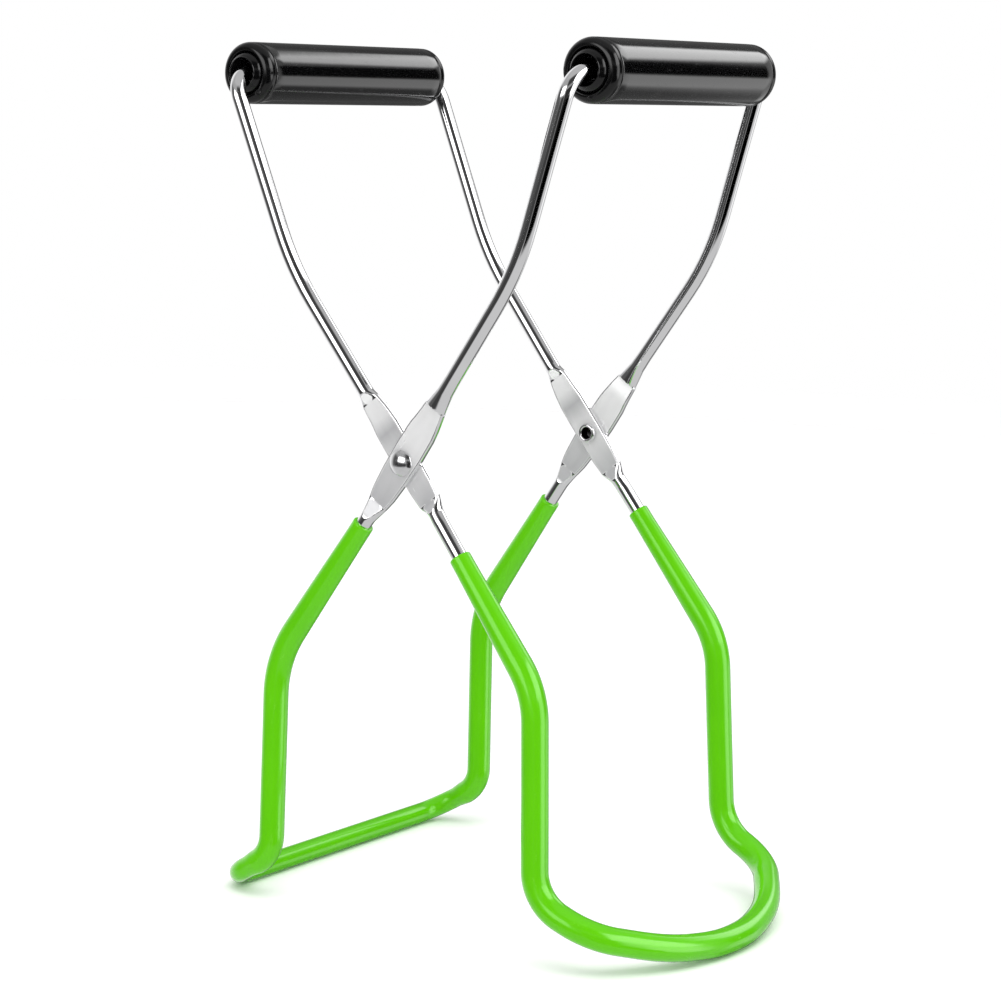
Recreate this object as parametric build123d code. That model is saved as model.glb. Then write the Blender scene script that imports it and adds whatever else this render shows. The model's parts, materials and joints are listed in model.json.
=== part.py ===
from build123d import *
import math
import os

# A jar lifter: two bent wire frames that cross and turn on two rivets, like scissors.
# Each frame has a handle grip across its top and a sleeved jaw across its bottom.
# Millimetres and degrees. X is the way the tool opens, Y runs along the pivot axis with the
# front at -Y, and Z is up. The tool stands on its two jaws, with Z = 0 under them.

# ---- wire, sleeves and rivets ----
WIRE_R = 2.0                  # round steel wire, 4 mm across
RUN_MARGIN = 0.3              # straight wire left beside a bend where the sleeve changes
SLEEVE_TOP_R = 2.75           # the rubber sleeve is stretched thin at its upper ends
TAB_T = 1.5                   # the wire is pressed flat to this thickness at the pivot
TAB_GAP = 0.2                 # between the outer and the inner tab
TAB_MID_R = 4.3               # half the tab's width at the pivot
TAB_END_R = 3.1               # half the tab's width at its ends
TAB_HALF_L = 14.3             # from the pivot to each end of the flat
PRESS_L = 18.3                # from the pivot to where the wire is round again
PRESS_OVERLAP = 2.0           # how far the pressed ends reach into the flat
PRESS_INSET_W = 0.2           # they stay this far inside the flat's edge
PRESS_INSET_T = 0.15          # and this far under its faces
RIVET_R = 1.95
RIVET_CLEARANCE = 0.05        # the inner tab turns on the rivet
HEAD_R = 3.4
HEAD_H = 1.9
TAIL_R = 2.6
TAIL_H = 1.3
TAIL_ROLL_R = 0.55            # the rounding of the rolled tail
TAIL_BORE_R = 1.55
TAIL_BORE_L = 3.4
TAIL_GAP = 0.15
UPRIGHT = (Align.CENTER, Align.CENTER, Align.MIN)
HANGING = (Align.CENTER, Align.CENTER, Align.MAX)

# ---- grips ----
GRIP_R = 7.9
GRIP_HALF_L = 39.9            # from the middle of the grip to the nose of its end cap
GRIP_WALL = 1.5
TUBE_CHAMFER = 0.2
CAP_L = 4.8                   # the cap stands this far out of the tube
CAP_SPIGOT_L = 8.0            # and reaches this far into it
CAP_RIM_Z = 3.3               # the height of the rounded rim, from the tube's end
CAP_RIM_R = 2.0               # the rim's rounding
CAP_GROOVE_Z = 2.4            # the bottom of the groove between the rim and the raised middle
CAP_GROOVE_R = 5.35
CAP_DOME_R = 3.0              # the rounding of the raised middle
CAP_LIP_R = 4.1               # a small lip round the wire's mouth
CAP_LIP_H = 0.23
CAP_LIP_W = 0.35
CAP_MOUTH_R = 2.2             # the mouth widens from here outwards, for the wire's bend
CAP_MOUTH_Z = 0.4
CAP_BORE_CLEARANCE = 0.08     # the grip turns freely on the wire
WIRE_END_Y = 20.0             # the wire's ends stop here inside the grip, on both sides

# ---- the two frames ----
# Each frame is drawn with its stem upright and the pivot at the origin. A corner is the
# point where two straight runs of wire would meet, and bend_r is the radius that rounds it.
# offset is along X, half_y is the distance from the middle, and height is along the stem.
# The jaw lies in a plane that tilts away from the knee: reach is measured along that plane.


class Corner:
    def __init__(self, offset, half_y, height, bend_r):
        self.offset = offset
        self.half_y = half_y
        self.height = height
        self.bend_r = bend_r

    def at(self, side):
        """The corner's point on the front (side = -1) or the rear (side = 1)."""
        return Vector(self.offset, side * self.half_y, self.height)


class FrameShape:
    def __init__(self, top, shoulder, tab_y, hip, knee, jaw_tilt, jaw, leg_sleeve_r,
                 jaw_sleeve_r, sleeve_drop, grip_shift, rivet_fit):
        self.top = top
        self.shoulder = shoulder
        self.tab_y = tab_y                # middle of the tab's thickness
        self.hip = hip
        self.knee = knee
        self.leg_sleeve_r = leg_sleeve_r
        self.jaw_sleeve_r = jaw_sleeve_r
        self.sleeve_drop = sleeve_drop    # from the pivot down to the sleeve's end, by side
        self.grip_shift = grip_shift      # the grip's place along the wire, towards the rear
        self.rivet_fit = rivet_fit        # radial clearance between the tab and the rivet
        along = Vector(-math.sin(math.radians(jaw_tilt)), 0, -math.cos(math.radians(jaw_tilt)))
        self.jaw = []
        for half_y, reach, bend_r in jaw:
            point = knee.at(0) + along * reach
            self.jaw.append(Corner(point.X, half_y, point.Z, bend_r))

    def low_corners(self):
        """The corners below the pivot, from the hip to the end of the jaw's half."""
        return [self.hip, self.knee] + self.jaw

    def run_start(self, side, towards):
        """Where the round wire starts beside the tab, on the way to the given corner."""
        share = PRESS_L / abs(towards.height)
        half_y = self.tab_y + share * (towards.half_y - self.tab_y)
        return Vector(0, side * half_y, math.copysign(PRESS_L, towards.height))

    def on_stem(self, side, drop):
        """The point of the wire's line that is this far below the pivot."""
        top = self.run_start(side, self.hip)
        run = self.hip.at(side) - top
        return top + run * ((drop - PRESS_L) / abs(run.Z))


TAB_CONTACT_Y = 42.2          # midway between the outer and the inner tab

OUTER = FrameShape(
    top=Corner(-15.9, 44.1, 107.1, 7.0),
    shoulder=Corner(0, 44.9, 60.0, 68.0),
    tab_y=TAB_CONTACT_Y + (TAB_GAP + TAB_T) / 2,
    hip=Corner(0, 45.5, -66.2, 31.0),
    knee=Corner(29.2, 46.4, -109.2, 9.5),
    jaw_tilt=23.7,
    jaw=[(46.3, 17.2, 8.4)],
    leg_sleeve_r=3.3,
    jaw_sleeve_r=2.85,
    sleeve_drop={-1: 20.1, 1: 24.9},
    grip_shift=0.9,
    rivet_fit=0,
)
INNER = FrameShape(
    top=Corner(-14.3, 43.6, 109.3, 7.0),
    shoulder=Corner(0, 42.8, 58.5, 75.0),
    tab_y=TAB_CONTACT_Y - (TAB_GAP + TAB_T) / 2,
    hip=Corner(0, 43.1, -66.7, 23.4),
    knee=Corner(29.6, 44.8, -108.6, 12.3),
    jaw_tilt=27.5,
    jaw=[(42.6, 16.4, 17.3), (24.2, 29.2, 49.5), (7.2, 33.7, 49.0)],
    leg_sleeve_r=3.45,
    jaw_sleeve_r=3.45,
    sleeve_drop={-1: 25.4, 1: 27.8},
    grip_shift=0,
    rivet_fit=RIVET_CLEARANCE,
)
OUTER_LEAN = 33.5             # the outer frame's stem, from upright towards +X
FRONT = -1
REAR = 1

# ---- how the tool stands: both jaws rest on the same level ----


def jaw_depth(shape, lean):
    """How far the jaw's underside is below the pivot when the stem leans this much."""
    toe = shape.jaw[-1]
    lean = math.radians(lean)
    return toe.offset * math.sin(lean) - toe.height * math.cos(lean) + shape.jaw_sleeve_r


def lean_for_depth(shape, depth):
    """The lean at which the jaw's underside is this far below the pivot."""
    toe = shape.jaw[-1]
    length = math.hypot(toe.offset, toe.height)
    steepest = math.atan2(toe.offset, -toe.height)
    return math.degrees(steepest + math.acos((depth - shape.jaw_sleeve_r) / length))


PIVOT_Z = jaw_depth(OUTER, OUTER_LEAN)
INNER_LEAN = lean_for_depth(INNER, PIVOT_Z)


def stand_outer(part):
    return Pos(0, 0, PIVOT_Z) * Rot(0, OUTER_LEAN, 0) * part


def stand_inner(part):
    """The inner frame is turned about Z as well, so that its handle is at -X."""
    return Pos(0, 0, PIVOT_Z) * Rot(0, -INNER_LEAN, 0) * Rot(0, 0, 180) * part


# ---- wire frames ----


def round_bar(path, radius, bore=0):
    """A bar, or a tube, swept along a path of straight runs and tangent arcs."""
    section = Plane(origin=path @ 0, z_dir=path % 0) * Circle(radius)
    if bore:
        section -= Plane(origin=path @ 0, z_dir=path % 0) * Circle(bore)
    return sweep(section, path=path)


def upper_leg(shape, side):
    """The wire from its end inside the grip, round the top corner, down to the tab."""
    end = Vector(shape.top.offset, side * WIRE_END_Y, shape.top.height)
    low = shape.run_start(side, shape.shoulder)
    radii = [shape.top.bend_r, shape.shoulder.bend_r]
    return FilletPolyline(end, shape.top.at(side), shape.shoulder.at(side), low, radius=radii)


def lower_loop(shape, front_start, rear_start):
    """The wire from the front tab, down the leg, across the jaw and up to the rear tab."""
    corners = shape.low_corners()
    front = [c.at(FRONT) for c in corners]
    rear = [c.at(REAR) for c in reversed(corners)]
    radii = [c.bend_r for c in corners]
    return FilletPolyline(front_start, *front, *rear, rear_start, radius=radii + radii[::-1])


def pressed_end(shape, side, towards):
    """The short stretch where the round wire flattens into the tab."""
    start = shape.run_start(side, towards)
    run = towards.at(side) - start
    round_end = Plane(origin=start, x_dir=(1, 0, 0), z_dir=run) * Circle(WIRE_R)
    flat_z = math.copysign(TAB_HALF_L - PRESS_OVERLAP, towards.height)
    flat_at = (0, side * shape.tab_y, flat_z)
    flat_section = Ellipse(TAB_END_R - PRESS_INSET_W, TAB_T / 2 - PRESS_INSET_T)
    flat_end = Plane(origin=flat_at, x_dir=(1, 0, 0), z_dir=(0, 0, flat_z)) * flat_section
    return loft([flat_end.face(), round_end.face()])


def tab(shape, side):
    """The leaf-shaped flat at the pivot, with its rivet hole."""
    right = ThreePointArc((TAB_END_R, TAB_HALF_L), (TAB_MID_R, 0), (TAB_END_R, -TAB_HALF_L))
    left = ThreePointArc((-TAB_END_R, -TAB_HALF_L), (-TAB_MID_R, 0), (-TAB_END_R, TAB_HALF_L))
    top = Line(left @ 1, right @ 0)
    bottom = Line(right @ 1, left @ 0)
    outline = make_face([right, bottom, left, top])
    outline -= Circle(RIVET_R + shape.rivet_fit)
    facing = Plane(origin=(0, side * shape.tab_y, 0), x_dir=(1, 0, 0), z_dir=(0, -1, 0))
    return extrude(facing * outline, amount=TAB_T / 2, both=True)


def wire_frame(shape):
    """One length of wire, with both of its ends inside the grip."""
    low_starts = [shape.run_start(side, shape.hip) for side in (FRONT, REAR)]
    wire = round_bar(lower_loop(shape, *low_starts), WIRE_R)
    for side in (FRONT, REAR):
        wire += round_bar(upper_leg(shape, side), WIRE_R)
        wire += tab(shape, side)
        wire += pressed_end(shape, side, shape.shoulder)
        wire += pressed_end(shape, side, shape.hip)
    return wire


def tangent_length(before, corner, after, bend_r):
    """How far from a corner the run is straight, a little beyond the rounding's end."""
    turn = (corner - before).get_angle(after - corner)
    return bend_r * math.tan(math.radians(turn / 2)) + RUN_MARGIN


def tapered_tube(start, end, start_r, end_r):
    """A straight stretch of sleeve on the wire, from one radius to another."""
    run = end - start
    if start_r == end_r:
        outside = Cylinder(start_r, run.length, align=UPRIGHT)
    else:
        outside = Cone(start_r, end_r, run.length, align=UPRIGHT)
    return Plane(origin=start, z_dir=run) * (outside - Cylinder(WIRE_R, run.length, align=UPRIGHT))


def jaw_sleeve(shape):
    """The rubber sleeve: it widens down each stem, follows the wire round the hip and the
    knee, and changes to the jaw's radius on the short straight run below the knee."""
    hip, knee, toe = shape.hip, shape.knee, shape.jaw[0]
    necks = {}
    stretches = []
    for side in (FRONT, REAR):
        high = shape.on_stem(side, shape.sleeve_drop[side])
        hip_at, knee_at, toe_at = hip.at(side), knee.at(side), toe.at(side)
        beyond = shape.jaw[1].at(side) if len(shape.jaw) > 1 else toe.at(-side)
        to_hip = (hip_at - high).normalized()
        low = hip_at - to_hip * tangent_length(high, hip_at, knee_at, hip.bend_r)
        to_toe = (toe_at - knee_at).normalized()
        neck_high = knee_at + to_toe * tangent_length(hip_at, knee_at, toe_at, knee.bend_r)
        neck_low = toe_at - to_toe * tangent_length(knee_at, toe_at, beyond, toe.bend_r)
        leg = FilletPolyline(low, hip_at, knee_at, neck_high, radius=[hip.bend_r, knee.bend_r])
        stretches += [
            tapered_tube(low, high, shape.leg_sleeve_r, SLEEVE_TOP_R),
            round_bar(leg, shape.leg_sleeve_r, WIRE_R),
            tapered_tube(neck_high, neck_low, shape.leg_sleeve_r, shape.jaw_sleeve_r),
        ]
        necks[side] = neck_low
    radii = [c.bend_r for c in shape.jaw]
    front = [c.at(FRONT) for c in shape.jaw]
    rear = [c.at(REAR) for c in reversed(shape.jaw)]
    jaw = FilletPolyline(necks[FRONT], *front, *rear, necks[REAR], radius=radii + radii[::-1])
    sleeve = round_bar(jaw, shape.jaw_sleeve_r, WIRE_R)
    for stretch in stretches:
        sleeve += stretch
    return sleeve


# ---- grips ----


def along_y(part, side, y):
    """Turns a part that was drawn along +Z to point outwards on one side, at this y."""
    return Pos(0, side * y, 0) * Rot(-90 * side, 0, 0) * part


def grip_tube():
    half = GRIP_HALF_L - CAP_L
    tube = Cylinder(GRIP_R, 2 * half) - Cylinder(GRIP_R - GRIP_WALL, 2 * half)
    circles = tube.edges().filter_by(GeomType.CIRCLE).sort_by(SortBy.RADIUS)
    return Rot(90, 0, 0) * chamfer(circles[-2:], TUBE_CHAMFER)


def grip_cap():
    """An end cap along +Z, with the tube's end at z = 0: a spigot, a rounded rim, a groove
    inside the rim, and a domed middle with a lip round the mouth for the wire."""
    bore_r = WIRE_R + CAP_BORE_CLEARANCE
    spigot_r = GRIP_R - GRIP_WALL
    rim_low = (GRIP_R, CAP_RIM_Z - CAP_RIM_R)
    rim_top = (GRIP_R - CAP_RIM_R, CAP_RIM_Z)
    groove = (CAP_GROOVE_R, CAP_GROOVE_Z)
    lip_out = (CAP_LIP_R, CAP_L - CAP_LIP_H)
    lip_top = (CAP_LIP_R - CAP_LIP_W / 2, CAP_L)
    lip_in = (CAP_LIP_R - CAP_LIP_W, CAP_L - CAP_LIP_H)
    profile = [
        Polyline((bore_r, -CAP_SPIGOT_L), (spigot_r, -CAP_SPIGOT_L), (spigot_r, 0), (GRIP_R, 0), rim_low),
        RadiusArc(rim_low, rim_top, -CAP_RIM_R),
        Line(rim_top, groove),
        RadiusArc(groove, lip_out, -CAP_DOME_R),
        ThreePointArc(lip_out, lip_top, lip_in),
        Polyline(lip_in, (CAP_MOUTH_R, CAP_MOUTH_Z), (bore_r, CAP_MOUTH_Z), (bore_r, -CAP_SPIGOT_L)),
    ]
    face = Plane.XZ * make_face(profile)
    return revolve(face, Axis.Z)


def grip_parts(shape, name):
    """The tube and its two caps, on the wire's line across the top of the frame."""
    place = Pos(shape.top.offset, shape.grip_shift, shape.top.height)
    cap_y = GRIP_HALF_L - CAP_L
    return {
        name + "_grip_tube": place * grip_tube(),
        name + "_grip_cap_front": place * along_y(grip_cap(), FRONT, cap_y),
        name + "_grip_cap_rear": place * along_y(grip_cap(), REAR, cap_y),
    }


# ---- rivets ----


def rivet():
    """A semi-tubular rivet along +Z, with z = 0 under its head: a domed head above, and a
    shank with a hollow tail that is rolled over below."""
    stack = 2 * TAB_T + TAB_GAP + TAIL_GAP
    tail_z = -stack - TAIL_H
    dome_r = (HEAD_R ** 2 + HEAD_H ** 2) / (2 * HEAD_H)
    head = Pos(0, 0, HEAD_H - dome_r) * Sphere(dome_r)
    head &= Cylinder(HEAD_R, HEAD_H, align=UPRIGHT)
    shank = Pos(0, 0, tail_z) * Cylinder(RIVET_R, stack + TAIL_H, align=UPRIGHT)
    roll = Pos(0, 0, -stack) * Cylinder(TAIL_R, TAIL_H, align=HANGING)
    roll = fillet(roll.edges().filter_by(GeomType.CIRCLE), TAIL_ROLL_R)
    bore = Pos(0, 0, tail_z) * Cylinder(TAIL_BORE_R, TAIL_BORE_L, align=UPRIGHT)
    return head + shank + roll - bore


def main():
    head_y = OUTER.tab_y + TAB_T / 2
    parts = {
        "outer_frame_wire": stand_outer(wire_frame(OUTER)),
        "outer_jaw_sleeve": stand_outer(jaw_sleeve(OUTER)),
        "front_rivet": stand_outer(along_y(rivet(), FRONT, head_y)),
        "rear_rivet": stand_outer(along_y(rivet(), REAR, head_y)),
        "inner_frame_wire": stand_inner(wire_frame(INNER)),
        "inner_jaw_sleeve": stand_inner(jaw_sleeve(INNER)),
    }
    for name, part in grip_parts(OUTER, "outer").items():
        parts[name] = stand_outer(part)
    for name, part in grip_parts(INNER, "inner").items():
        parts[name] = stand_inner(part)

    # The origin is on the floor, in the middle of the tool's box.
    box = Compound(list(parts.values())).bounding_box()
    centre = Pos(-box.center().X, -box.center().Y, 0)
    os.makedirs("parts", exist_ok=True)
    for name, part in parts.items():
        export_step(centre * part, f"parts/{name}.step")

    print("size", box.size, "lowest", box.min.Z)
    print("pivot", -box.center().X, -box.center().Y, PIVOT_Z, "leans", OUTER_LEAN, INNER_LEAN)


main()
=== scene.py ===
import json
import math

import bmesh
import bpy
from mathutils import Matrix, Vector, noise


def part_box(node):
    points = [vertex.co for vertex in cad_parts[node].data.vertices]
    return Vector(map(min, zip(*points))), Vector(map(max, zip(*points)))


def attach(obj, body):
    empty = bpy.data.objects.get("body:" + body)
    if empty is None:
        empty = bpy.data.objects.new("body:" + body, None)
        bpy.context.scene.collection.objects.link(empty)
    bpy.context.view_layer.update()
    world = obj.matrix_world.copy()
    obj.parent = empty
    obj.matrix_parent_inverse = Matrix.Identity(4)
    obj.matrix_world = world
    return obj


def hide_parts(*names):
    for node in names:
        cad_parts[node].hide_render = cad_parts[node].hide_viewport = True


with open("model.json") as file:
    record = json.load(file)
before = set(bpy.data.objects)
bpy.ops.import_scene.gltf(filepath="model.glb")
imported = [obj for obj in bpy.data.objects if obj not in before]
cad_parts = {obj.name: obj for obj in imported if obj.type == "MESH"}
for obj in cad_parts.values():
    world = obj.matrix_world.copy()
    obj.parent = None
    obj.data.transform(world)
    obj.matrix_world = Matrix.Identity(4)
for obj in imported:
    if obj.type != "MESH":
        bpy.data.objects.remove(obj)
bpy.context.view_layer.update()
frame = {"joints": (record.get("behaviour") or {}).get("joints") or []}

# A jar lifter: two bent wire frames that turn on two rivets, with glossy black grips and
# green rubber sleeves. Each frame is drawn in millimetres with the pivot at its origin, where
# Z runs up its stem and Y along the pivot axis, and is then placed in metres by the packed
# model's pivot and grip joints.

MM = 0.001
FRONT = -1
REAR = 1
JOINT_AT = {joint["name"]: Vector(joint["pos_m"]) for joint in frame["joints"]}
PIVOT = JOINT_AT["pivot"]

# ---------------------------------------------------------------- sizes, in millimetres

WIRE_R = 2.0
SLEEVE_BORE_R = 2.01
SLEEVE_TOP_R = 2.75
SLEEVE_LIP_R = 0.35           # the rounding of the sleeve's cut ends
LIP_SHARES = (0.06, 0.2, 0.45, 0.75, 1.0, 1.6)    # extra rings near an end, as shares of the lip
SWELL_FADE = (0.3, 4)         # how far from an end the uneven wall starts, and is full
TAB_T = 1.5
TAB_GAP = 0.2                 # between the outer and the inner tab
PRESS_L = 18.3                # the wire's line leaves the tab's plane here
FLAT_L = 12.3
ROUND = [WIRE_R, WIRE_R, WIRE_R, 0]    # the wire's own section, as a pressed station has it
PRESSED_SHARE = 0.92          # the wire is pressed where it is thinner than this share of its own,
FACE_SHARE = 0.999            # and a point is on its face from this share of that thickness
STRIP_EDGE_R = 0.45           # the rounding of the tab's edges
SIDE_END = 12.0               # degrees round the bar where the strip's side and edge end
EDGE_END = 42.0
STEM_TOP = 27.0               # the stretch round the tab that is drawn in fine steps
STEM_BOTTOM = -19.8
RING = 64                     # points round a wire or a sleeve
RUN_STEP = 1.5
SLEEVE_STEP = 1.2
TAB_STEP = 0.25
ARC_STEP = math.radians(3)
SHARP = 35                    # degrees between faces, above which their edge is sharp
SLEEVE_SHARP = 50
HOLE_SEGMENTS = 48
DRILL_L = 100.0

RIVET_R = 1.95
HEAD_R = 3.38
HEAD_H = 1.88
HEAD_RIM_H = 0.45
HEAD_DOME_R = HEAD_R - 0.06   # the dome starts here, just inside the rim
HEAD_STEPS = 14
# The head's underside and rim, as (radius, height).
HEAD_EDGE = [(HEAD_R - 0.45, 0.0), (HEAD_R - 0.4, 0.16), (HEAD_DOME_R, 0.28), (HEAD_R, 0.34)]
TAIL_GAP = 0.15               # between the inner tab and the rolled tail
TAIL_H = 1.3
TAIL_ROLL_R = 0.5             # the rounding of the rolled tail
TAIL_ROLL_Z = 0.52            # the middle of that rounding, from the tail's end
TAIL_BORE_R = 1.55
# The hollow and the back of the roll, as (radius, height from the tail's end).
TAIL_BORE = [(0.0, 3.4), (TAIL_BORE_R - 0.03, 3.0), (TAIL_BORE_R, 0.55)]
TAIL_BACK = [(2.58, 1.1), (2.5, TAIL_H), (RIVET_R, TAIL_H)]
RIVET_SEGMENTS = 72

GRIP_R = 7.9
GRIP_HALF_L = 39.9
GRIP_BORE_R = 6.4
CAP_L = 4.8                   # the cap stands this far out of the tube
CAP_BORE_R = 2.08
CAP_SPIGOT_L = 8.0
CAP_FIT = 0.02                # the cap's clearance in the tube
CAP_INSET = 0.03              # the cap is this much smaller than the tube
CAP_RIM_R = 2.0               # the rim's rounding
CAP_RIM_Z = 3.28              # the rim's height, from the tube's end
CAP_DOME_AT = (2.4, 2.08)     # the centre of the raised middle's rounding
CAP_DOME_R = 2.98
# The cap's edge against the tube, as (how far inside the cap's radius, height).
CAP_EDGE = [(0.32, 0.0), (0.12, 0.1), (0.0, 0.35), (0.0, 0.8)]
# The groove inside the rim, the small lip and the mouth for the wire, as (radius, height).
CAP_GROOVE = [(5.7, 3.2), (5.52, 2.9), (5.42, 2.6)]
CAP_LIP = [(4.08, 4.6), (4.06, 4.72), (3.98, 4.79), (3.86, 4.78), (3.77, 4.66)]
CAP_MOUTH = [(3.68, 4.3), (2.22, 0.45), (CAP_BORE_R, 0.4)]
TUBE_EDGE_R = 0.25
TUBE_STEPS = 24
GRIP_SEGMENTS = 128
WIRE_END_Y = 20.0             # the wire's ends stop here inside the grip, on both sides


def corner(offset, half_y, height, bend_r):
    """A corner of the front half of a frame, with the radius that rounds it."""
    return Vector((offset, -half_y, height)), bend_r


def jaw_corners(knee, tilt, stations):
    """The corners of the jaw, in a plane that tilts away from the stem below the knee."""
    tilt = math.radians(tilt)
    down = Vector((-math.sin(tilt), 0, -math.cos(tilt)))
    corners = []
    for half_y, reach, bend_r in stations:
        point = knee + down * reach
        corners.append(corner(point.x, half_y, point.z, bend_r))
    return corners


OUTER_KNEE = corner(29.2, 46.4, -109.2, 9.5)
INNER_KNEE = corner(29.6, 44.8, -108.6, 12.3)

# Each pressed station is (height on the stem, half width, half thickness of the bar, half
# thickness that the press leaves, how square its edges are: 0 a pressed bar, 1 a flat strip).
# The shade table gives (height, how dark the pressed face is painted there: 0 painted bright, 1 painted
# dark): painted light and shade that change with height on the stem.
OUTER = {
    "top": corner(-15.9, 44.1, 107.1, 7.0),
    "shoulder": corner(0, 44.9, 60.0, 68.0),
    "tab_y": 43.05,
    "hip": corner(0, 45.5, -66.2, 31.0),
    "knee": OUTER_KNEE,
    "jaw": jaw_corners(OUTER_KNEE[0], 23.7, [(46.3, 17.2, 8.4)]),
    "leg_r": 3.3,
    "jaw_r": 2.85,
    "drop": {FRONT: 20.1, REAR: 24.9},
    "pressed": [
        (27.0, 2.0, 2.0, 2.0, 0), (23.0, 2.15, 1.98, 1.98, 0), (18.0, 3.0, 1.85, 1.85, 0),
        (17.6, 3.15, 0.75, 0.75, 1), (10.0, 4.2, 0.75, 0.75, 1), (4.0, 4.38, 0.75, 0.75, 1),
        (-4.0, 4.1, 0.75, 0.75, 1), (-10.0, 3.6, 0.75, 0.75, 1), (-12.9, 3.05, 0.75, 0.75, 1),
        (-14.0, 2.85, 1.35, 0.93, 0.2), (-17.0, 2.2, 1.93, 1.62, 0), (-17.8, 2.05, 2.0, 1.95, 0),
        (-19.0, 2.0, 2.0, 2.0, 0),
    ],
    "painted_shade": [(18.0, 0.2), (6.0, 0.3), (-4.0, 0.75), (-13.0, 1.0)],
    "hole_r": 1.95,
}
INNER = {
    "top": corner(-14.3, 43.6, 109.3, 7.0),
    "shoulder": corner(0, 42.8, 58.5, 75.0),
    "tab_y": 41.35,
    "hip": corner(0, 43.1, -66.7, 23.4),
    "knee": INNER_KNEE,
    "jaw": jaw_corners(
        INNER_KNEE[0], 27.5, [(42.6, 16.4, 17.3), (24.2, 29.2, 49.5), (7.2, 33.7, 49.0)]),
    "leg_r": 3.45,
    "jaw_r": 3.45,
    "drop": {FRONT: 25.4, REAR: 27.8},
    "pressed": [
        (22.0, 2.0, 2.0, 2.0, 0), (20.6, 2.05, 2.0, 1.95, 0), (19.6, 2.4, 1.65, 1.4, 0),
        (18.6, 2.75, 1.05, 0.9, 0.4), (17.8, 2.88, 0.8, 0.77, 1), (15.0, 3.3, 0.75, 0.75, 1),
        (10.0, 3.85, 0.75, 0.75, 1), (0.0, 3.95, 0.75, 0.75, 1), (-7.5, 3.75, 0.75, 0.75, 1),
        (-11.6, 3.35, 0.75, 0.75, 1), (-12.6, 3.1, 1.35, 1.05, 0.2), (-14.2, 2.3, 1.95, 1.75, 0),
        (-15.2, 2.0, 2.0, 2.0, 0),
    ],
    "painted_shade": [(19.0, 0.15), (13.0, 0.35), (9.0, 1.0), (4.0, 0.5), (-3.0, 0.5), (-12.0, 1.0)],
    "hole_r": 2.0,
}


def stem_lean(grip_joint, shape):
    """The angle between the stem and upright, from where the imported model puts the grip."""
    way = JOINT_AT[grip_joint] - PIVOT
    top = shape["top"][0]
    return math.atan2(abs(way.x), way.z) - math.atan2(top.x, top.z)


PLACE_OUTER = (
    Matrix.Translation(PIVOT) @ Matrix.Rotation(stem_lean("outer_grip_turn", OUTER), 4, "Y")
    @ Matrix.Scale(MM, 4)
)
PLACE_INNER = (
    Matrix.Translation(PIVOT) @ Matrix.Rotation(-stem_lean("inner_grip_turn", INNER), 4, "Y")
    @ Matrix.Rotation(math.pi, 4, "Z") @ Matrix.Scale(MM, 4)
)
FRAMES = (("outer", OUTER, PLACE_OUTER), ("inner", INNER, PLACE_INNER))

# ---------------------------------------------------------------- camera

CAMERA_AZIMUTH = math.radians(35.13)
CAMERA_ELEVATION = math.radians(7.66)
CAMERA_LEAN = math.radians(2.845)       # round the pivot's axis
CAMERA_DISTANCE = 0.7196
CAMERA_AIM = Vector((-0.00076, 0, -0.01424))   # from the pivot
CAMERA_LENS = 98.957
SENSOR = 36.0


def make_camera():
    back = Vector((
        math.sin(CAMERA_AZIMUTH) * math.cos(CAMERA_ELEVATION),
        -math.cos(CAMERA_AZIMUTH) * math.cos(CAMERA_ELEVATION),
        math.sin(CAMERA_ELEVATION),
    ))
    right = Vector((math.cos(CAMERA_AZIMUTH), math.sin(CAMERA_AZIMUTH), 0))
    up = back.cross(right)
    pose = Matrix((right, up, back)).transposed().to_4x4()
    pose.translation = CAMERA_AIM + back * CAMERA_DISTANCE
    data = bpy.data.cameras.new("camera")
    data.lens = CAMERA_LENS
    data.sensor_width = SENSOR
    data.clip_start = 0.01
    camera = bpy.data.objects.new("camera", data)
    camera.matrix_world = Matrix.Translation(PIVOT) @ Matrix.Rotation(-CAMERA_LEAN, 4, "Y") @ pose
    bpy.context.scene.collection.objects.link(camera)
    bpy.context.scene.camera = camera


# ---------------------------------------------------------------- paths


def blend(low, high, x):
    """0 below low, 1 above high, and a smooth step between."""
    t = min(max((x - low) / (high - low), 0), 1)
    return t * t * (3 - 2 * t)


def straight(start, end, step):
    count = max(1, math.ceil((end - start).length / step))
    return [start.lerp(end, i / count) for i in range(count + 1)]


def rounded(corners, step=RUN_STEP):
    """The straight runs of a path and the arcs between them, in turn."""
    stretches = []
    start = corners[0][0]
    for (before, _), (here, radius), (after, _) in zip(corners, corners[1:], corners[2:]):
        into = (here - before).normalized()
        out = (after - here).normalized()
        turn = into.angle(out)
        cut = radius * math.tan(turn / 2)
        first = here - into * cut
        centre = first + (out - into * into.dot(out)).normalized() * radius
        axis = into.cross(out).normalized()
        count = max(2, math.ceil(turn / ARC_STEP))
        stretches.append(straight(start, first, step))
        stretches.append([
            centre + Matrix.Rotation(turn * i / count, 3, axis) @ (first - centre) for i in range(count + 1)
        ])
        start = here + out * cut
    stretches.append(straight(start, corners[-1][0], step))
    return stretches


def joined(stretches):
    """All the stretches' points in order, each shared end once."""
    points = list(stretches[0])
    for stretch in stretches[1:]:
        points += stretch[1:]
    return points


def lengths_along(points):
    """How far along the path each point lies."""
    alongs = [0.0]
    for before, here in zip(points, points[1:]):
        alongs.append(alongs[-1] + (here - before).length)
    return alongs


def stem_y(shape, height):
    """The wire's distance from the middle at a height on the stem: straight runs that lead
    from the shoulder and the hip to the pivot, and the tab's own plane close to it."""
    towards = shape["shoulder"] if height > 0 else shape["hip"]
    line = shape["tab_y"] + (abs(towards[0].y) - shape["tab_y"]) * height / towards[0].z
    return shape["tab_y"] + (line - shape["tab_y"]) * blend(FLAT_L, PRESS_L, abs(height))


def stem_point(shape, height):
    return Vector((0, -stem_y(shape, height), height))


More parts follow.
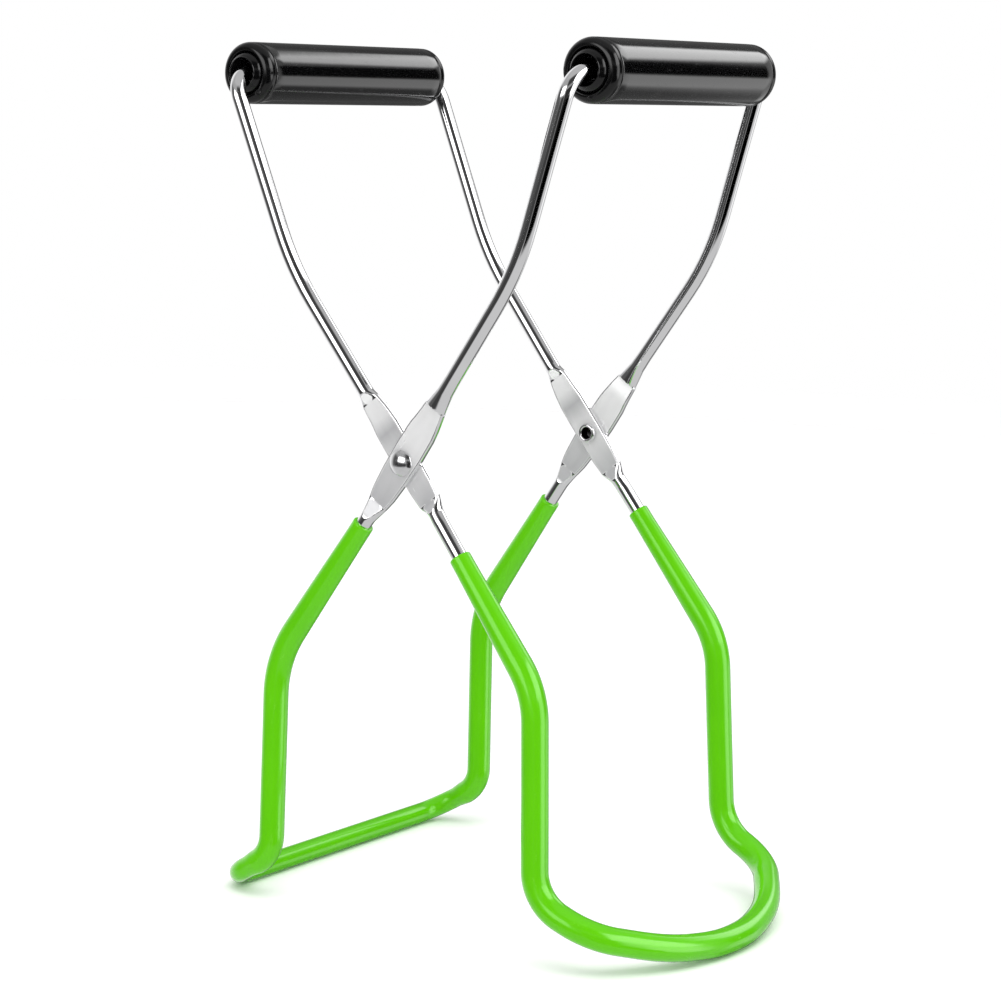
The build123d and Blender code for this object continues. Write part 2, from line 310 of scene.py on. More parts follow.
def mirrored(corners):
    return [(Vector((at.x, -at.y, at.z)), radius) for at, radius in reversed(corners)]


def carried_frames(points, start, normal):
    """A normal and a side direction at each point, carried along the path without twist."""
    last = len(points) - 1
    tangents = [(points[min(i + 1, last)] - points[max(i - 1, 0)]).normalized() for i in range(last + 1)]
    normals = [None] * (last + 1)
    normals[start] = (normal - tangents[start] * normal.dot(tangents[start])).normalized()
    for i in list(range(start + 1, last + 1)) + list(range(start - 1, -1, -1)):
        near = normals[i - 1] if i > start else normals[i + 1]
        normals[i] = (near - tangents[i] * near.dot(tangents[i])).normalized()
    return [(n, t.cross(n)) for n, t in zip(normals, tangents)]


# ---------------------------------------------------------------- meshes


class Skin:
    """The points and faces of a piece. Each point also has its place on the straight bar
    that the piece was made from (rod), and how it was pressed (pressed): 0 where it is
    round, and from 1 to 2 on a flat, whose colour carries painted light and shade: 1 painted bright, 2
    painted dark."""

    def __init__(self):
        self.points = []
        self.faces = []
        self.rod = []
        self.pressed = []

    def add_ring(self, ring):
        """Adds a ring of (point, rod, pressed) and returns its point numbers."""
        first = len(self.points)
        for point, rod, pressed in ring:
            self.points.append(point)
            self.rod.append(rod)
            self.pressed.append(pressed)
        return list(range(first, first + len(ring)))

    def bridge(self, ring_a, ring_b):
        count = len(ring_a)
        for i in range(count):
            j = (i + 1) % count
            self.faces.append((ring_a[i], ring_a[j], ring_b[j], ring_b[i]))

    def bridge_all(self, rings):
        for ring_a, ring_b in zip(rings, rings[1:]):
            self.bridge(ring_a, ring_b)

    def make(self, name, place, sharp=SHARP):
        mesh = bpy.data.meshes.new(name)
        mesh.from_pydata([place @ p for p in self.points], [], self.faces)
        rod = mesh.attributes.new("rod", "FLOAT_VECTOR", "POINT")
        rod.data.foreach_set("vector", [c for r in self.rod for c in r])
        pressed = mesh.attributes.new("pressed", "FLOAT", "POINT")
        pressed.data.foreach_set("value", self.pressed)
        tidy_normals(mesh, sharp)
        piece = bpy.data.objects.new(name, mesh)
        bpy.context.scene.collection.objects.link(piece)
        return piece


def tidy_normals(mesh, sharp):
    shape = bmesh.new()
    shape.from_mesh(mesh)
    bmesh.ops.recalc_face_normals(shape, faces=shape.faces)
    shape.to_mesh(mesh)
    shape.free()
    mesh.polygons.foreach_set("use_smooth", [True] * len(mesh.polygons))
    mesh.set_sharp_from_angle(angle=math.radians(sharp))
    mesh.update()


def lathe(profile, segments):
    """A closed profile of (radius, z) points turned round Z."""
    skin = Skin()
    rings = []
    for r, z in profile:
        ring = []
        for i in range(segments):
            a = 2 * math.pi * i / segments
            at = Vector((r * math.cos(a), r * math.sin(a), z))
            ring.append((at, at, 0.0))
        rings.append(skin.add_ring(ring))
    skin.bridge_all(rings + rings[:1])
    return skin


def arc(centre, radius, start, end, count):
    """Points of a profile's arc, with its angles in degrees from +r towards +z."""
    points = []
    for i in range(count + 1):
        a = math.radians(start + (end - start) * i / count)
        points.append((centre[0] + radius * math.cos(a), centre[1] + radius * math.sin(a)))
    return points


# ---------------------------------------------------------------- wire frames


def pressed_section(shape, height):
    """The bar's section at a height on the stem, between the stations beside it."""
    stations = shape["pressed"]
    for (high, *above), (low, *below) in zip(stations, stations[1:]):
        if low <= height <= high:
            t = (height - low) / (high - low)
            return [b + (a - b) * t for a, b in zip(above, below)]
    return ROUND


def face_painted_shade(shape, height):
    """How dark the pressed face is painted at a height on the stem: painted light and shade, from 0,
    painted bright, to 1, painted dark.
    """
    painted_shades = shape["painted_shade"]
    for (high, above), (low, below) in zip(painted_shades, painted_shades[1:]):
        if low <= height <= high:
            return below + (above - below) * (height - low) / (high - low)
    return painted_shades[0][1] if height > 0 else painted_shades[-1][1]


def strip_point(angle, half_w, half_t):
    """A point round a flat strip with rounded edges, for an angle round the bar."""
    c, s = abs(math.cos(angle)), abs(math.sin(angle))
    quarter = math.degrees(math.atan2(s, c))
    flat_w, flat_t = half_w - STRIP_EDGE_R, half_t - STRIP_EDGE_R
    if quarter < SIDE_END:
        x, y = half_w, flat_t * quarter / SIDE_END
    elif quarter < EDGE_END:
        turn = math.radians(90 * (quarter - SIDE_END) / (EDGE_END - SIDE_END))
        x, y = flat_w + STRIP_EDGE_R * math.cos(turn), flat_t + STRIP_EDGE_R * math.sin(turn)
    else:
        x, y = flat_w * (90 - quarter) / (90 - EDGE_END), half_t
    return math.copysign(x, math.cos(angle)), math.copysign(y, math.sin(angle))


def wire_ring(at, normal, side, section, painted_shade, along):
    half_w, half_t, left_t, square = section
    ring = []
    for i in range(RING):
        a = 2 * math.pi * i / RING
        full_y = half_t * math.sin(a)
        x, y = half_w * math.cos(a), min(max(full_y, -left_t), left_t)
        if square:
            strip_x, strip_y = strip_point(a, half_w, left_t)
            x, y = x + (strip_x - x) * square, y + (strip_y - y) * square
        pressed = left_t < PRESSED_SHARE * WIRE_R and abs(y) > FACE_SHARE * left_t
        rod = Vector((WIRE_R * math.cos(a), WIRE_R * math.sin(a), along))
        # a point on a flat carries the face's painted shade, from 1, painted bright, to 2, painted dark
        ring.append((at + side * x + normal * y, rod, 1 + painted_shade if pressed else 0.0))
    return ring


def wire_frame(shape, name, place):
    """One length of wire: its front half, from the end inside the grip to the middle of the
    jaw, and the same mirrored to the rear."""
    end = Vector((shape["top"][0].x, -WIRE_END_Y, shape["top"][0].z))
    stem_start = (stem_point(shape, STEM_TOP), 0)
    upper = joined(rounded([(end, 0), shape["top"], shape["shoulder"], stem_start]))
    count = round((STEM_TOP - STEM_BOTTOM) / TAB_STEP)
    heights = [STEM_TOP + (STEM_BOTTOM - STEM_TOP) * i / count for i in range(count + 1)]
    stem = [stem_point(shape, height) for height in heights]
    toe = shape["jaw"][-1][0]
    middle = Vector((toe.x, 0, toe.z))
    low_corners = [shape["hip"], shape["knee"]] + shape["jaw"]
    lower = joined(rounded([(stem[-1], 0)] + low_corners + [(middle, 0)]))
    points = upper + stem[1:] + lower[1:]
    sections = [(ROUND, 0)] * (len(upper) - 1)
    # each station on the stem also carries the painted shade of its face
    sections += [(pressed_section(shape, height), face_painted_shade(shape, height)) for height in heights]
    sections += [(ROUND, 0)] * (len(lower) - 1)
    frames = carried_frames(points, len(upper) + count // 2, Vector((0, 1, 0)))

    # The last ring lies in the middle plane, so that the mirrored half shares its points.
    last_normal = frames[-1][0]
    last_normal = (last_normal - Vector((0, last_normal.y, 0))).normalized()
    frames[-1] = (last_normal, Vector((0, 1, 0)).cross(last_normal))
    alongs = lengths_along(points)
    skin = Skin()
    front = []
    rear = []
    for at, (normal, side), (section, painted_shade), along in zip(points, frames, sections, alongs):
        ring = wire_ring(at, normal, side, section, painted_shade, along)
        front.append(skin.add_ring(ring))
        if at is points[-1]:
            rear.append(front[-1])
            continue
        opposite = []
        for point, rod, pressed in ring:
            across = Vector((point.x, -point.y, point.z))
            opposite.append((across, Vector((rod.x, rod.y, 2 * alongs[-1] - rod.z)), pressed))
        rear.append(skin.add_ring(opposite))
    for rings in (front, rear):
        skin.bridge_all(rings)
        skin.faces.append(tuple(rings[0]))
    wire = skin.make(name, place)
    drill(wire, shape["hole_r"])
    return wire


def drill(wire, radius):
    """Cuts the rivet holes through both tabs."""
    bit = bmesh.new()
    turn = Matrix.Translation(PIVOT) @ Matrix.Rotation(math.pi / 2, 4, "X")
    bmesh.ops.create_cone(
        bit, cap_ends=True, segments=HOLE_SEGMENTS, radius1=radius * MM, radius2=radius * MM,
        depth=DRILL_L * MM, matrix=turn)
    mesh = bpy.data.meshes.new("bit")
    bit.to_mesh(mesh)
    bit.free()
    cutter = bpy.data.objects.new("bit", mesh)
    bpy.context.scene.collection.objects.link(cutter)
    cut = wire.modifiers.new("holes", "BOOLEAN")
    cut.operation = "DIFFERENCE"
    cut.object = cutter
    cut.solver = "EXACT"
    bpy.context.view_layer.update()
    done = wire.evaluated_get(bpy.context.evaluated_depsgraph_get())
    drilled = bpy.data.meshes.new_from_object(done)
    wire.modifiers.clear()
    wire.data = drilled
    bpy.data.objects.remove(cutter)
    drilled.polygons.foreach_set("use_smooth", [True] * len(drilled.polygons))
    drilled.set_sharp_from_angle(angle=math.radians(SHARP))


# ---------------------------------------------------------------- sleeves


def jaw_sleeve(shape, name, place):
    """The sleeve's skin: outside, round the cut ends and back along the wire."""
    start = {}
    for side, drop in shape["drop"].items():
        at = stem_point(shape, -drop)
        start[side] = Vector((0, side * abs(at.y), at.z))
    corners = [shape["hip"], shape["knee"]] + shape["jaw"]
    path = [(start[FRONT], 0)] + corners + mirrored(corners) + [(start[REAR], 0)]
    stretches = rounded(path, SLEEVE_STEP)
    leg_r, jaw_r = shape["leg_r"], shape["jaw_r"]
    last = len(stretches) - 1
    # The outside radius at the start and the end of each stretch.
    radii = {0: (SLEEVE_TOP_R, leg_r), last: (leg_r, SLEEVE_TOP_R)}
    for i in (1, 2, 3, last - 3, last - 2, last - 1):
        radii[i] = (leg_r, leg_r)
    radii[4] = (leg_r, jaw_r)
    radii[last - 4] = (jaw_r, leg_r)
    points = []
    outside = []
    for i, stretch in enumerate(stretches):
        first_r, last_r = radii.get(i, (jaw_r, jaw_r))
        if i in (0, last):
            stretch = with_close_ends(stretch, first=(i == 0))
        kept = stretch if i == 0 else stretch[1:]
        length = (stretch[-1] - stretch[0]).length
        for point in kept:
            share = min((point - stretch[0]).length / length, 1)
            points.append(point)
            outside.append(first_r + (last_r - first_r) * share)
    frames = carried_frames(points, 0, Vector((0, 1, 0)))
    alongs = lengths_along(points)
    skin = Skin()
    outer_rings = []
    inner_rings = []
    for at, (normal, side), along, radius in zip(points, frames, alongs, outside):
        from_end = min(along, alongs[-1] - along)
        if from_end < SLEEVE_LIP_R:
            radius -= SLEEVE_LIP_R - math.sqrt(SLEEVE_LIP_R ** 2 - (SLEEVE_LIP_R - from_end) ** 2)
        outer = []
        inner = []
        for i in range(RING):
            a = 2 * math.pi * i / RING
            way = side * math.cos(a) + normal * math.sin(a)
            rod = Vector((radius * math.cos(a), radius * math.sin(a), along))
            swell = sleeve_swell(rod) * blend(*SWELL_FADE, from_end)
            outer.append((at + way * (radius + swell), rod, 0.0))
            inner.append((at + way * SLEEVE_BORE_R, rod, 0.0))
        outer_rings.append(skin.add_ring(outer))
        inner_rings.append(skin.add_ring(inner))
    skin.bridge_all(outer_rings)
    skin.bridge_all(inner_rings)
    skin.bridge(outer_rings[0], inner_rings[0])
    skin.bridge(outer_rings[-1], inner_rings[-1])
    return skin.make(name, place, sharp=SLEEVE_SHARP)


def with_close_ends(run, first):
    """The run with extra points close to its free end, for the rounded lip."""
    end, beside = (run[0], run[1]) if first else (run[-1], run[-2])
    way = (beside - end).normalized()
    extra = [end + way * SLEEVE_LIP_R * share for share in LIP_SHARES]
    if first:
        return [end] + extra + run[1:]
    return run[:-1] + extra[::-1] + [end]


def sleeve_swell(rod):
    """The uneven wall of the moulded rubber, in millimetres, always inside the full radius."""
    slow = noise.noise(Vector((rod.x * 0.12, rod.y * 0.12, rod.z * 0.045)))
    ridges = noise.noise(Vector((rod.x * 0.55, rod.y * 0.55, rod.z * 0.02)) + Vector((31, 7, 2)))
    return 0.035 * slow + 0.018 * ridges - 0.045


# ---------------------------------------------------------------- grips and rivets


def grip_tube_skin():
    half = GRIP_HALF_L - CAP_L
    edge_z = half - TUBE_EDGE_R
    profile = arc((GRIP_R - TUBE_EDGE_R, edge_z), TUBE_EDGE_R, 90, 0, 4)
    profile += [(GRIP_R, edge_z - (2 * edge_z) * i / TUBE_STEPS) for i in range(1, TUBE_STEPS)]
    profile += arc((GRIP_R - TUBE_EDGE_R, -edge_z), TUBE_EDGE_R, 0, -90, 4)
    profile += [(GRIP_BORE_R, -half), (GRIP_BORE_R, half)]
    return lathe(profile, GRIP_SEGMENTS)


def grip_cap_skin():
    """An end cap along +Z, with the tube's end at z = 0: a rounded rim, a groove inside it,
    and a domed middle with a lip round the mouth for the wire."""
    spigot_r = GRIP_BORE_R - CAP_FIT
    cap_r = GRIP_R - CAP_INSET
    profile = [(CAP_BORE_R, -CAP_SPIGOT_L), (spigot_r, -CAP_SPIGOT_L), (spigot_r, 0.0)]
    profile += [(cap_r - inset, z) for inset, z in CAP_EDGE]
    profile += arc((cap_r - CAP_RIM_R, CAP_RIM_Z - CAP_RIM_R), CAP_RIM_R, 0, 90, 16)
    profile += CAP_GROOVE
    profile += arc(CAP_DOME_AT, CAP_DOME_R, 8, 53, 14)
    profile += CAP_LIP + CAP_MOUTH
    return lathe(profile, GRIP_SEGMENTS)


def rivet_skin():
    """A semi-tubular rivet along +Z, with z = 0 under its head."""
    tail = -(2 * TAB_T + TAB_GAP + TAIL_GAP) - TAIL_H
    dome_h = HEAD_H - HEAD_RIM_H
    dome_r = (HEAD_R ** 2 + dome_h ** 2) / (2 * dome_h)
    profile = [(RIVET_R, 0.0)] + HEAD_EDGE
    for i in range(HEAD_STEPS):
        r = HEAD_DOME_R * (1 - i / HEAD_STEPS)
        profile.append((r, HEAD_H - dome_r + math.sqrt(dome_r ** 2 - r ** 2)))
    profile.append((0.0, HEAD_H))
    profile += [(r, tail + z) for r, z in TAIL_BORE]
    profile += arc((TAIL_BORE_R + TAIL_ROLL_R, tail + TAIL_ROLL_Z), TAIL_ROLL_R, 180, 360, 12)
    profile += [(r, tail + z) for r, z in TAIL_BACK]
    return lathe(profile, RIVET_SEGMENTS)


def outwards(side, y):
    """Turns what is drawn along +Z to point outwards on one side, at this distance."""
    return Matrix.Translation((0, side * y, 0)) @ Matrix.Rotation(-side * math.pi / 2, 4, "X")


def close_poles(piece):
    """Joins the points of rings that have no radius."""
    shape = bmesh.new()
    shape.from_mesh(piece.data)
    bmesh.ops.remove_doubles(shape, verts=shape.verts, dist=1e-7)
    bmesh.ops.dissolve_degenerate(shape, edges=shape.edges, dist=1e-8)
    shape.to_mesh(piece.data)
    shape.free()
    tidy_normals(piece.data, SHARP)


# ---------------------------------------------------------------- materials


class Paint:
    """A material with one principled shader, and short ways to add nodes to it."""

    def __init__(self, name, **sockets):
        self.material = bpy.data.materials.new(name)
        self.material.use_nodes = True
        self.tree = self.material.node_tree
        self.shader = self.tree.nodes["Principled BSDF"]
        for socket, value in sockets.items():
            self.shader.inputs[socket.replace("_", " ")].default_value = value

    def node(self, kind, inputs=(), **settings):
        node = self.tree.nodes.new(kind)
        for key, value in settings.items():
            setattr(node, key, value)
        for key, value in dict(inputs).items():
            if isinstance(value, bpy.types.NodeSocket):
                self.tree.links.new(value, node.inputs[key])
            else:
                node.inputs[key].default_value = value
        return node

    def rod(self, scale):
        """The place on the straight bar, in millimetres, stretched by scale."""
        rod = self.node("ShaderNodeAttribute", attribute_name="rod")
        place = self.node("ShaderNodeMapping", {"Vector": rod.outputs["Vector"], "Scale": scale})
        return place.outputs["Vector"]

    def noise(self, scale, detail, stretch=(1, 1, 1)):
        found = self.node("ShaderNodeTexNoise", {
            "Vector": self.rod(stretch), "Scale": scale, "Detail": detail,
        })
        return found.outputs["Fac"]

    def between(self, value, low, high, to_low=0.0, to_high=1.0):
        """The value moved from low..high to to_low..to_high, and held there."""
        return self.node("ShaderNodeMapRange", {
            "Value": value, "From Min": low, "From Max": high, "To Min": to_low, "To Max": to_high,
        }).outputs["Result"]

    def math(self, operation, a, b=0.0):
        return self.node("ShaderNodeMath", {0: a, 1: b}, operation=operation).outputs["Value"]

    def choose(self, share, a, b):
        """The number a where share is 0 and b where it is 1."""
        from_a = self.math("MULTIPLY", a, self.math("SUBTRACT", 1.0, share))
        return self.math("ADD", from_a, self.math("MULTIPLY", b, share))

    def mix(self, share, a, b):
        """Colour a where share is 0 and b where it is 1."""
        node = self.tree.nodes.new("ShaderNodeMix")
        node.data_type = "RGBA"
        for key, value in {"Factor": share, "A": a, "B": b}.items():
            socket = [s for s in node.inputs if s.name == key and s.enabled][0]
            if isinstance(value, bpy.types.NodeSocket):
                self.tree.links.new(value, socket)
            else:
                socket.default_value = value
        return [s for s in node.outputs if s.enabled][0]

    def set(self, socket, value):
        self.tree.links.new(value, self.shader.inputs[socket])

    def bump(self, *heights):
        """Adds (height, strength, distance in metres) bumps, one over the other."""
        normal = None
        for height, strength, distance in heights:
            inputs = {"Height": height, "Strength": strength, "Distance": distance}
            if normal is not None:
                inputs["Normal"] = normal
            normal = self.node("ShaderNodeBump", inputs).outputs["Normal"]
        self.set("Normal", normal)


def chrome_wire():
    paint = Paint("chrome_wire")
    pressed = paint.node("ShaderNodeAttribute", attribute_name="pressed").outputs["Fac"]
    flat = paint.between(pressed, 0.0, 1.0)
    painted_dark_share = paint.between(pressed, 1.0, 2.0)
    drawn = paint.noise(1.6, 4.0, (1, 1, 0.03))
    cloud = paint.noise(0.12, 3.0)
    brushed = paint.noise(0.9, 4.0, (1, 1, 0.12))
    bright = paint.mix(cloud, (0.82, 0.82, 0.83, 1), (0.92, 0.92, 0.93, 1))
    # The pressed faces run from a light grey to a dark grey with height on the stem: painted light and
    # shade.
    painted_lit_grey = paint.mix(brushed, (0.88, 0.88, 0.88, 1), (0.98, 0.98, 0.98, 1))
    painted_shade_grey = paint.mix(brushed, (0.44, 0.44, 0.45, 1), (0.52, 0.52, 0.53, 1))
    paint.set("Base Color", paint.mix(flat, bright, paint.mix(painted_dark_share, painted_lit_grey, painted_shade_grey)))
    paint.set("Metallic", paint.between(flat, 0, 1, 1.0, 0.25))
    wire_rough = paint.between(drawn, 0.3, 0.7, 0.04, 0.09)
    tab_rough = paint.between(brushed, 0.3, 0.7, 0.2, 0.28)
    step = paint.math("MULTIPLY", flat, paint.math("SUBTRACT", tab_rough, wire_rough))
    paint.set("Roughness", paint.math("ADD", wire_rough, step))
    paint.bump((drawn, 0.04, 0.00004), (cloud, 0.1, 0.0002))
    return paint.material


def rivet_steel():
    paint = Paint("rivet_steel", Metallic=1.0)
    cloud = paint.noise(0.7, 3.0)
    fine = paint.noise(4.0, 4.0)
    plated = paint.mix(cloud, (0.70, 0.70, 0.71, 1), (0.88, 0.88, 0.89, 1))

    # The hollow in the tail is painted nearly black: painted shade in the recess.
    across = paint.node("ShaderNodeVectorMath", {0: paint.rod((1, 1, 0))}, operation="LENGTH")
    height = paint.node("ShaderNodeSeparateXYZ", {"Vector": paint.rod((1, 1, 1))}).outputs["Z"]
    within = paint.between(
        across.outputs["Value"], TAIL_BORE_R + 0.01, TAIL_BORE_R + 0.07, 1.0, 0.0)
    painted_hollow_shade = paint.math("MULTIPLY", within, paint.between(height, -0.5, -0.2, 1.0, 0.0))
    black = paint.mix(fine, (0.02, 0.02, 0.02, 1), (0.06, 0.06, 0.06, 1))
    paint.set("Base Color", paint.mix(painted_hollow_shade, plated, black))
    paint.set("Roughness", paint.between(fine, 0.3, 0.7, 0.1, 0.18))
    paint.bump((fine, 0.06, 0.00004))
    return paint.material


def green_rubber():
    paint = Paint(
        "green_rubber", IOR=1.45, Specular_Tint=(0.7, 1.0, 0.35, 1),
        Coat_Weight=0.5, Coat_Roughness=0.06)
    cloud = paint.noise(0.09, 3.0, (1, 1, 0.5))
    grain = paint.noise(2.4, 5.0)
    scuffs = paint.between(paint.noise(0.5, 4.0, (1, 1, 0.25)), 0.62, 0.75)
    green = paint.mix(cloud, (0.085, 0.46, 0.001, 1), (0.12, 0.55, 0.002, 1))
    green = paint.mix(paint.math("MULTIPLY", grain, 0.25), green, (0.065, 0.39, 0.001, 1))
    scuffed = paint.mix(paint.math("MULTIPLY", scuffs, 0.15), green, (0.17, 0.58, 0.03, 1))
    paint.set("Base Color", scuffed)
    rough = paint.between(grain, 0.3, 0.7, 0.16, 0.24)
    paint.set("Roughness", paint.math("ADD", rough, paint.math("MULTIPLY", scuffs, 0.12)))
    paint.bump((grain, 0.06, 0.00005), (paint.noise(0.45, 2.0, (1, 1, 0.15)), 0.08, 0.0002))
    return paint.material


def black_plastic(name, rough_low, rough_high, flow, **sockets):
    paint = Paint(name, **sockets)
    cloud = paint.noise(0.06, 3.0)
    fine = paint.noise(3.0, 5.0)
    scratches = paint.between(paint.noise(1.1, 6.0, flow), 0.60, 0.72)
    black = paint.mix(cloud, (0.0012, 0.0012, 0.0014, 1), (0.003, 0.003, 0.0032, 1))
    scratched = paint.mix(paint.math("MULTIPLY", scratches, 0.3), black, (0.012, 0.012, 0.0125, 1))
    paint.set("Base Color", scratched)
    rough = paint.between(fine, 0.3, 0.7, rough_low, rough_high)
    paint.set("Roughness", paint.math("ADD", rough, paint.math("MULTIPLY", scratches, 0.1)))
    paint.bump((fine, 0.05, 0.00003), (paint.noise(0.22, 2.0), 0.06, 0.0003))
    return paint.material


def finish(piece, body, nodes, material):
    """Puts a finished piece in the place of its CAD node."""
    piece.data.materials.clear()
    piece.data.materials.append(material)
    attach(piece, body)
    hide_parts(*nodes)


# ---------------------------------------------------------------- stage

FLOOR_R = 1.2
FLOOR_FADE_R = FLOOR_R * 0.35         # the floor is solid to here, and clear at its edge


def make_floor():
    mesh = bpy.data.meshes.new("floor")
    shape = bmesh.new()
    bmesh.ops.create_circle(shape, cap_ends=True, segments=128, radius=FLOOR_R)
    shape.to_mesh(mesh)
    shape.free()
    floor = bpy.data.objects.new("floor", mesh)
    bpy.context.scene.collection.objects.link(floor)
    floor.visible_glossy = False
    paint = Paint("floor", Roughness=0.7)
    tree = paint.tree
    cloud = paint.node("ShaderNodeTexNoise", {"Scale": 4.0, "Detail": 4.0}).outputs["Fac"]
    paint.set("Base Color", paint.mix(cloud, (0.985, 0.985, 0.985, 1), (1.0, 1.0, 1.0, 1)))
    place = paint.node("ShaderNodeTexCoord").outputs["Object"]
    far = paint.node("ShaderNodeVectorMath", {0: place}, operation="LENGTH").outputs["Value"]
    fade = paint.between(far, FLOOR_FADE_R, FLOOR_R)
    clear = paint.node("ShaderNodeBsdfTransparent").outputs["BSDF"]
    blend_out = paint.node("ShaderNodeMixShader", {"Fac": fade})
    tree.links.new(paint.shader.outputs["BSDF"], blend_out.inputs[1])
    tree.links.new(clear, blend_out.inputs[2])
    tree.links.new(blend_out.outputs["Shader"], tree.nodes["Material Output"].inputs["Surface"])
    mesh.materials.append(paint.material)


# The studio, as flat cards round the object: azimuth from the front towards +X, elevation,
# half width, half height and softness of the edge in degrees, and brightness. A later card
# stands in front of an earlier one.
CARDS = [
    ("table", 0, -90, 72, 72, 3, 0.62),
    ("ceiling", 0, 90, 34, 34, 8, 0.5),
    ("left_dark", -62, 4, 44, 24, 6, 0.1),
    ("left_wall", -124, -2, 34, 34, 28, 1.1),
    ("right_low", 104, 2, 18, 20, 5, 3.0),
    ("right_softbox", 100, 33, 25, 16, 3, 4.5),
    ("front_softbox", -9, 17, 21, 13, 4, 3.2),
    ("low_edge_left", -12, -14, 35, 11, 4, 0.05),
    ("low_edge", 62, -22, 32, 8, 3, 0.0),
    ("camera_side", 52, -2, 26, 16, 4, 0.03),
    ("camera_top", 45, 40, 25, 17, 7, 0.05),
    ("rear_low", 148, -14, 12, 11, 4, 1.1),
    ("rear_left_shade", -158, 18, 19, 22, 5, 0.12),
    ("rear_left_low_shade", -150, -20, 15, 14, 4, 0.1),
    ("rear_softbox", 167, 31, 15, 8, 3, 2.6),
    ("rear_dark", 145, 8, 10, 12, 3, 0.0),
    ("rear_table_shade", 175, -38, 24, 10, 4, 0.15),
]


# For matt surfaces: the azimuth and elevation of the brightest side, and the light there and
# from the side opposite.
SOFT_LIGHT_FROM = (30, 45)
SOFT_LIGHT_HIGH = 1.22
SOFT_LIGHT_LOW = 0.4

OVERHEAD_AT = Vector((0.35, -0.25, 1.3))
OVERHEAD_SIZE = (1.2, 0.9)
OVERHEAD_POWER = 9.0


def direction(azimuth, elevation):
    azimuth, elevation = math.radians(azimuth), math.radians(elevation)
    flat = math.cos(elevation)
    return Vector((math.sin(azimuth) * flat, -math.cos(azimuth) * flat, math.sin(elevation)))


class WorldPaint(Paint):
    def __init__(self, world):
        self.tree = world.node_tree

    def dot(self, way, vector):
        product = self.node("ShaderNodeVectorMath", {0: way, 1: vector}, operation="DOT_PRODUCT")
        return product.outputs["Value"]

    def edge(self, value, half, soft):
        """1 within half of the middle, falling to 0 across a soft edge."""
        inside = math.tan(math.radians(max(half - soft, 0.1)))
        outside = math.tan(math.radians(half + soft))
        ranged = self.node("ShaderNodeMapRange", {
            "Value": self.math("ABSOLUTE", value), "From Min": outside, "From Max": inside,
        }, interpolation_type="SMOOTHSTEP")
        return ranged.outputs["Result"]

    def card(self, way, azimuth, elevation, half_w, half_h, soft):
        centre = direction(azimuth, elevation)
        right = direction(azimuth + 90, 0)
        up = right.cross(centre)
        ahead = self.dot(way, centre)
        near = self.math("MAXIMUM", ahead, 0.001)
        u = self.math("DIVIDE", self.dot(way, right), near)
        v = self.math("DIVIDE", self.dot(way, up), near)
        mask = self.math("MULTIPLY", self.edge(u, half_w, soft), self.edge(v, half_h, soft))
        return self.math("MULTIPLY", mask, self.math("GREATER_THAN", ahead, 0.002))


def make_world():
    """White to the camera, soft and even to matt surfaces, and a studio of bright and dark
    cards to whatever mirrors it."""
    world = bpy.data.worlds.new("studio")
    world.use_nodes = True
    world.cycles.sampling_method = "NONE"
    bpy.context.scene.world = world
    paint = WorldPaint(world)
    tree = world.node_tree
    output = tree.nodes["World Output"]
    way = paint.node("ShaderNodeTexCoord").outputs["Generated"]
    rise = paint.dot(way, Vector((0, 0, 1)))

    # Between the cards the studio is grey, and a little lighter below.
    studio = paint.between(rise, -0.35, 0.35, 0.55, 0.4)
    for _, azimuth, elevation, half_w, half_h, soft, bright in CARDS:
        mask = paint.card(way, azimuth, elevation, half_w, half_h, soft)
        studio = paint.choose(mask, studio, bright)
    bright_side = paint.dot(way, direction(*SOFT_LIGHT_FROM))
    soft_light = paint.between(bright_side, -1, 1, SOFT_LIGHT_LOW, SOFT_LIGHT_HIGH)
    path = paint.node("ShaderNodeLightPath")
    level = paint.choose(path.outputs["Is Glossy Ray"], soft_light, studio)
    level = paint.choose(path.outputs["Is Camera Ray"], level, 1.0)
    tree.links.new(level, tree.nodes["Background"].inputs["Strength"])
    tree.nodes["Background"].inputs["Color"].default_value = (1, 1, 1, 1)
    tree.links.new(tree.nodes["Background"].outputs["Background"], output.inputs["Surface"])


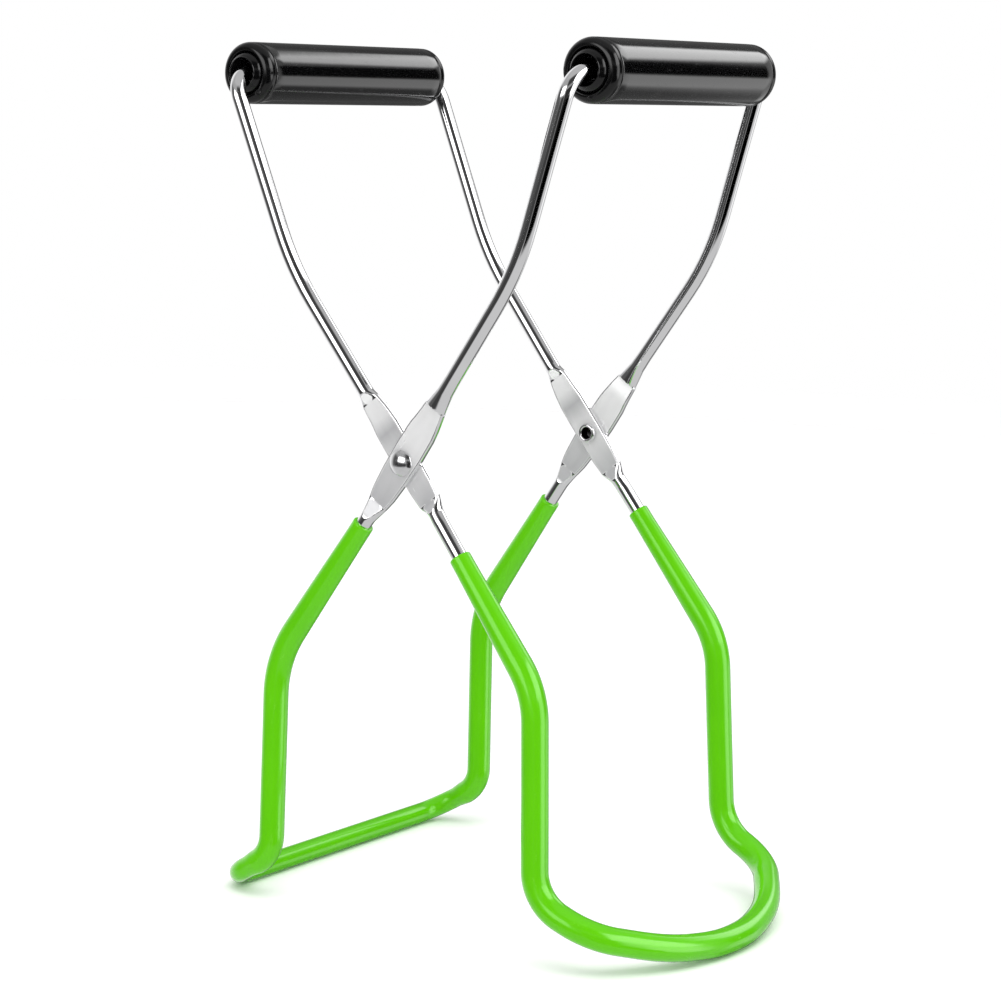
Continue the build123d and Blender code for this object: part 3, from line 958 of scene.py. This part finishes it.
def make_lights():
    data = bpy.data.lights.new("overhead", "AREA")
    data.shape = "RECTANGLE"
    data.size, data.size_y = OVERHEAD_SIZE
    data.energy = OVERHEAD_POWER
    light = bpy.data.objects.new("overhead", data)
    light.location = OVERHEAD_AT
    light.rotation_euler = (-light.location).to_track_quat("-Z", "Y").to_euler()
    light.visible_camera = False
    light.visible_glossy = False
    bpy.context.scene.collection.objects.link(light)


# ---------------------------------------------------------------- the object

make_camera()
bpy.context.scene.view_settings.view_transform = "Standard"

chrome = chrome_wire()
for label, shape, place in FRAMES:
    wire = wire_frame(shape, label + "_wire", place)
    finish(wire, label + "_frame", [label + "_frame_wire"], chrome)

rubber = green_rubber()
for label, shape, place in FRAMES:
    sleeve = jaw_sleeve(shape, label + "_sleeve", place)
    finish(sleeve, label + "_frame", [label + "_jaw_sleeve"], rubber)

steel = rivet_steel()
for side, node in ((FRONT, "front_rivet"), (REAR, "rear_rivet")):
    under_head = outwards(side, OUTER["tab_y"] + TAB_T / 2)
    rivet = rivet_skin().make(node + "_look", PLACE_OUTER @ under_head)
    close_poles(rivet)
    finish(rivet, "outer_frame", [node], steel)

tube_black = black_plastic(
    "grip_plastic", 0.09, 0.14, (1, 1, 0.25), IOR=1.6, Coat_Weight=0.5, Coat_IOR=1.6)
cap_black = black_plastic("cap_plastic", 0.10, 0.16, (1, 1, 1), IOR=1.42)
for label, shape, place in FRAMES:
    low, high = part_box(label + "_grip_tube")
    shift = ((low + high) / 2 - JOINT_AT[label + "_grip_turn"]).y / MM
    top = shape["top"][0]
    facing = 1 if label == "outer" else -1      # the inner frame is drawn with its front to the rear
    centre = place @ Matrix.Translation((top.x, facing * shift, top.z))
    body = label + "_grip"
    tube = grip_tube_skin().make(label + "_tube", centre @ Matrix.Rotation(math.pi / 2, 4, "X"))
    finish(tube, body, [label + "_grip_tube"], tube_black)
    for side, word in ((FRONT, "front"), (REAR, "rear")):
        cap_y = GRIP_HALF_L - CAP_L
        cap = grip_cap_skin().make(f"{label}_cap_{word}", centre @ outwards(side * facing, cap_y))
        finish(cap, body, [f"{label}_grip_cap_{word}"], cap_black)

make_floor()
make_world()
make_lights()
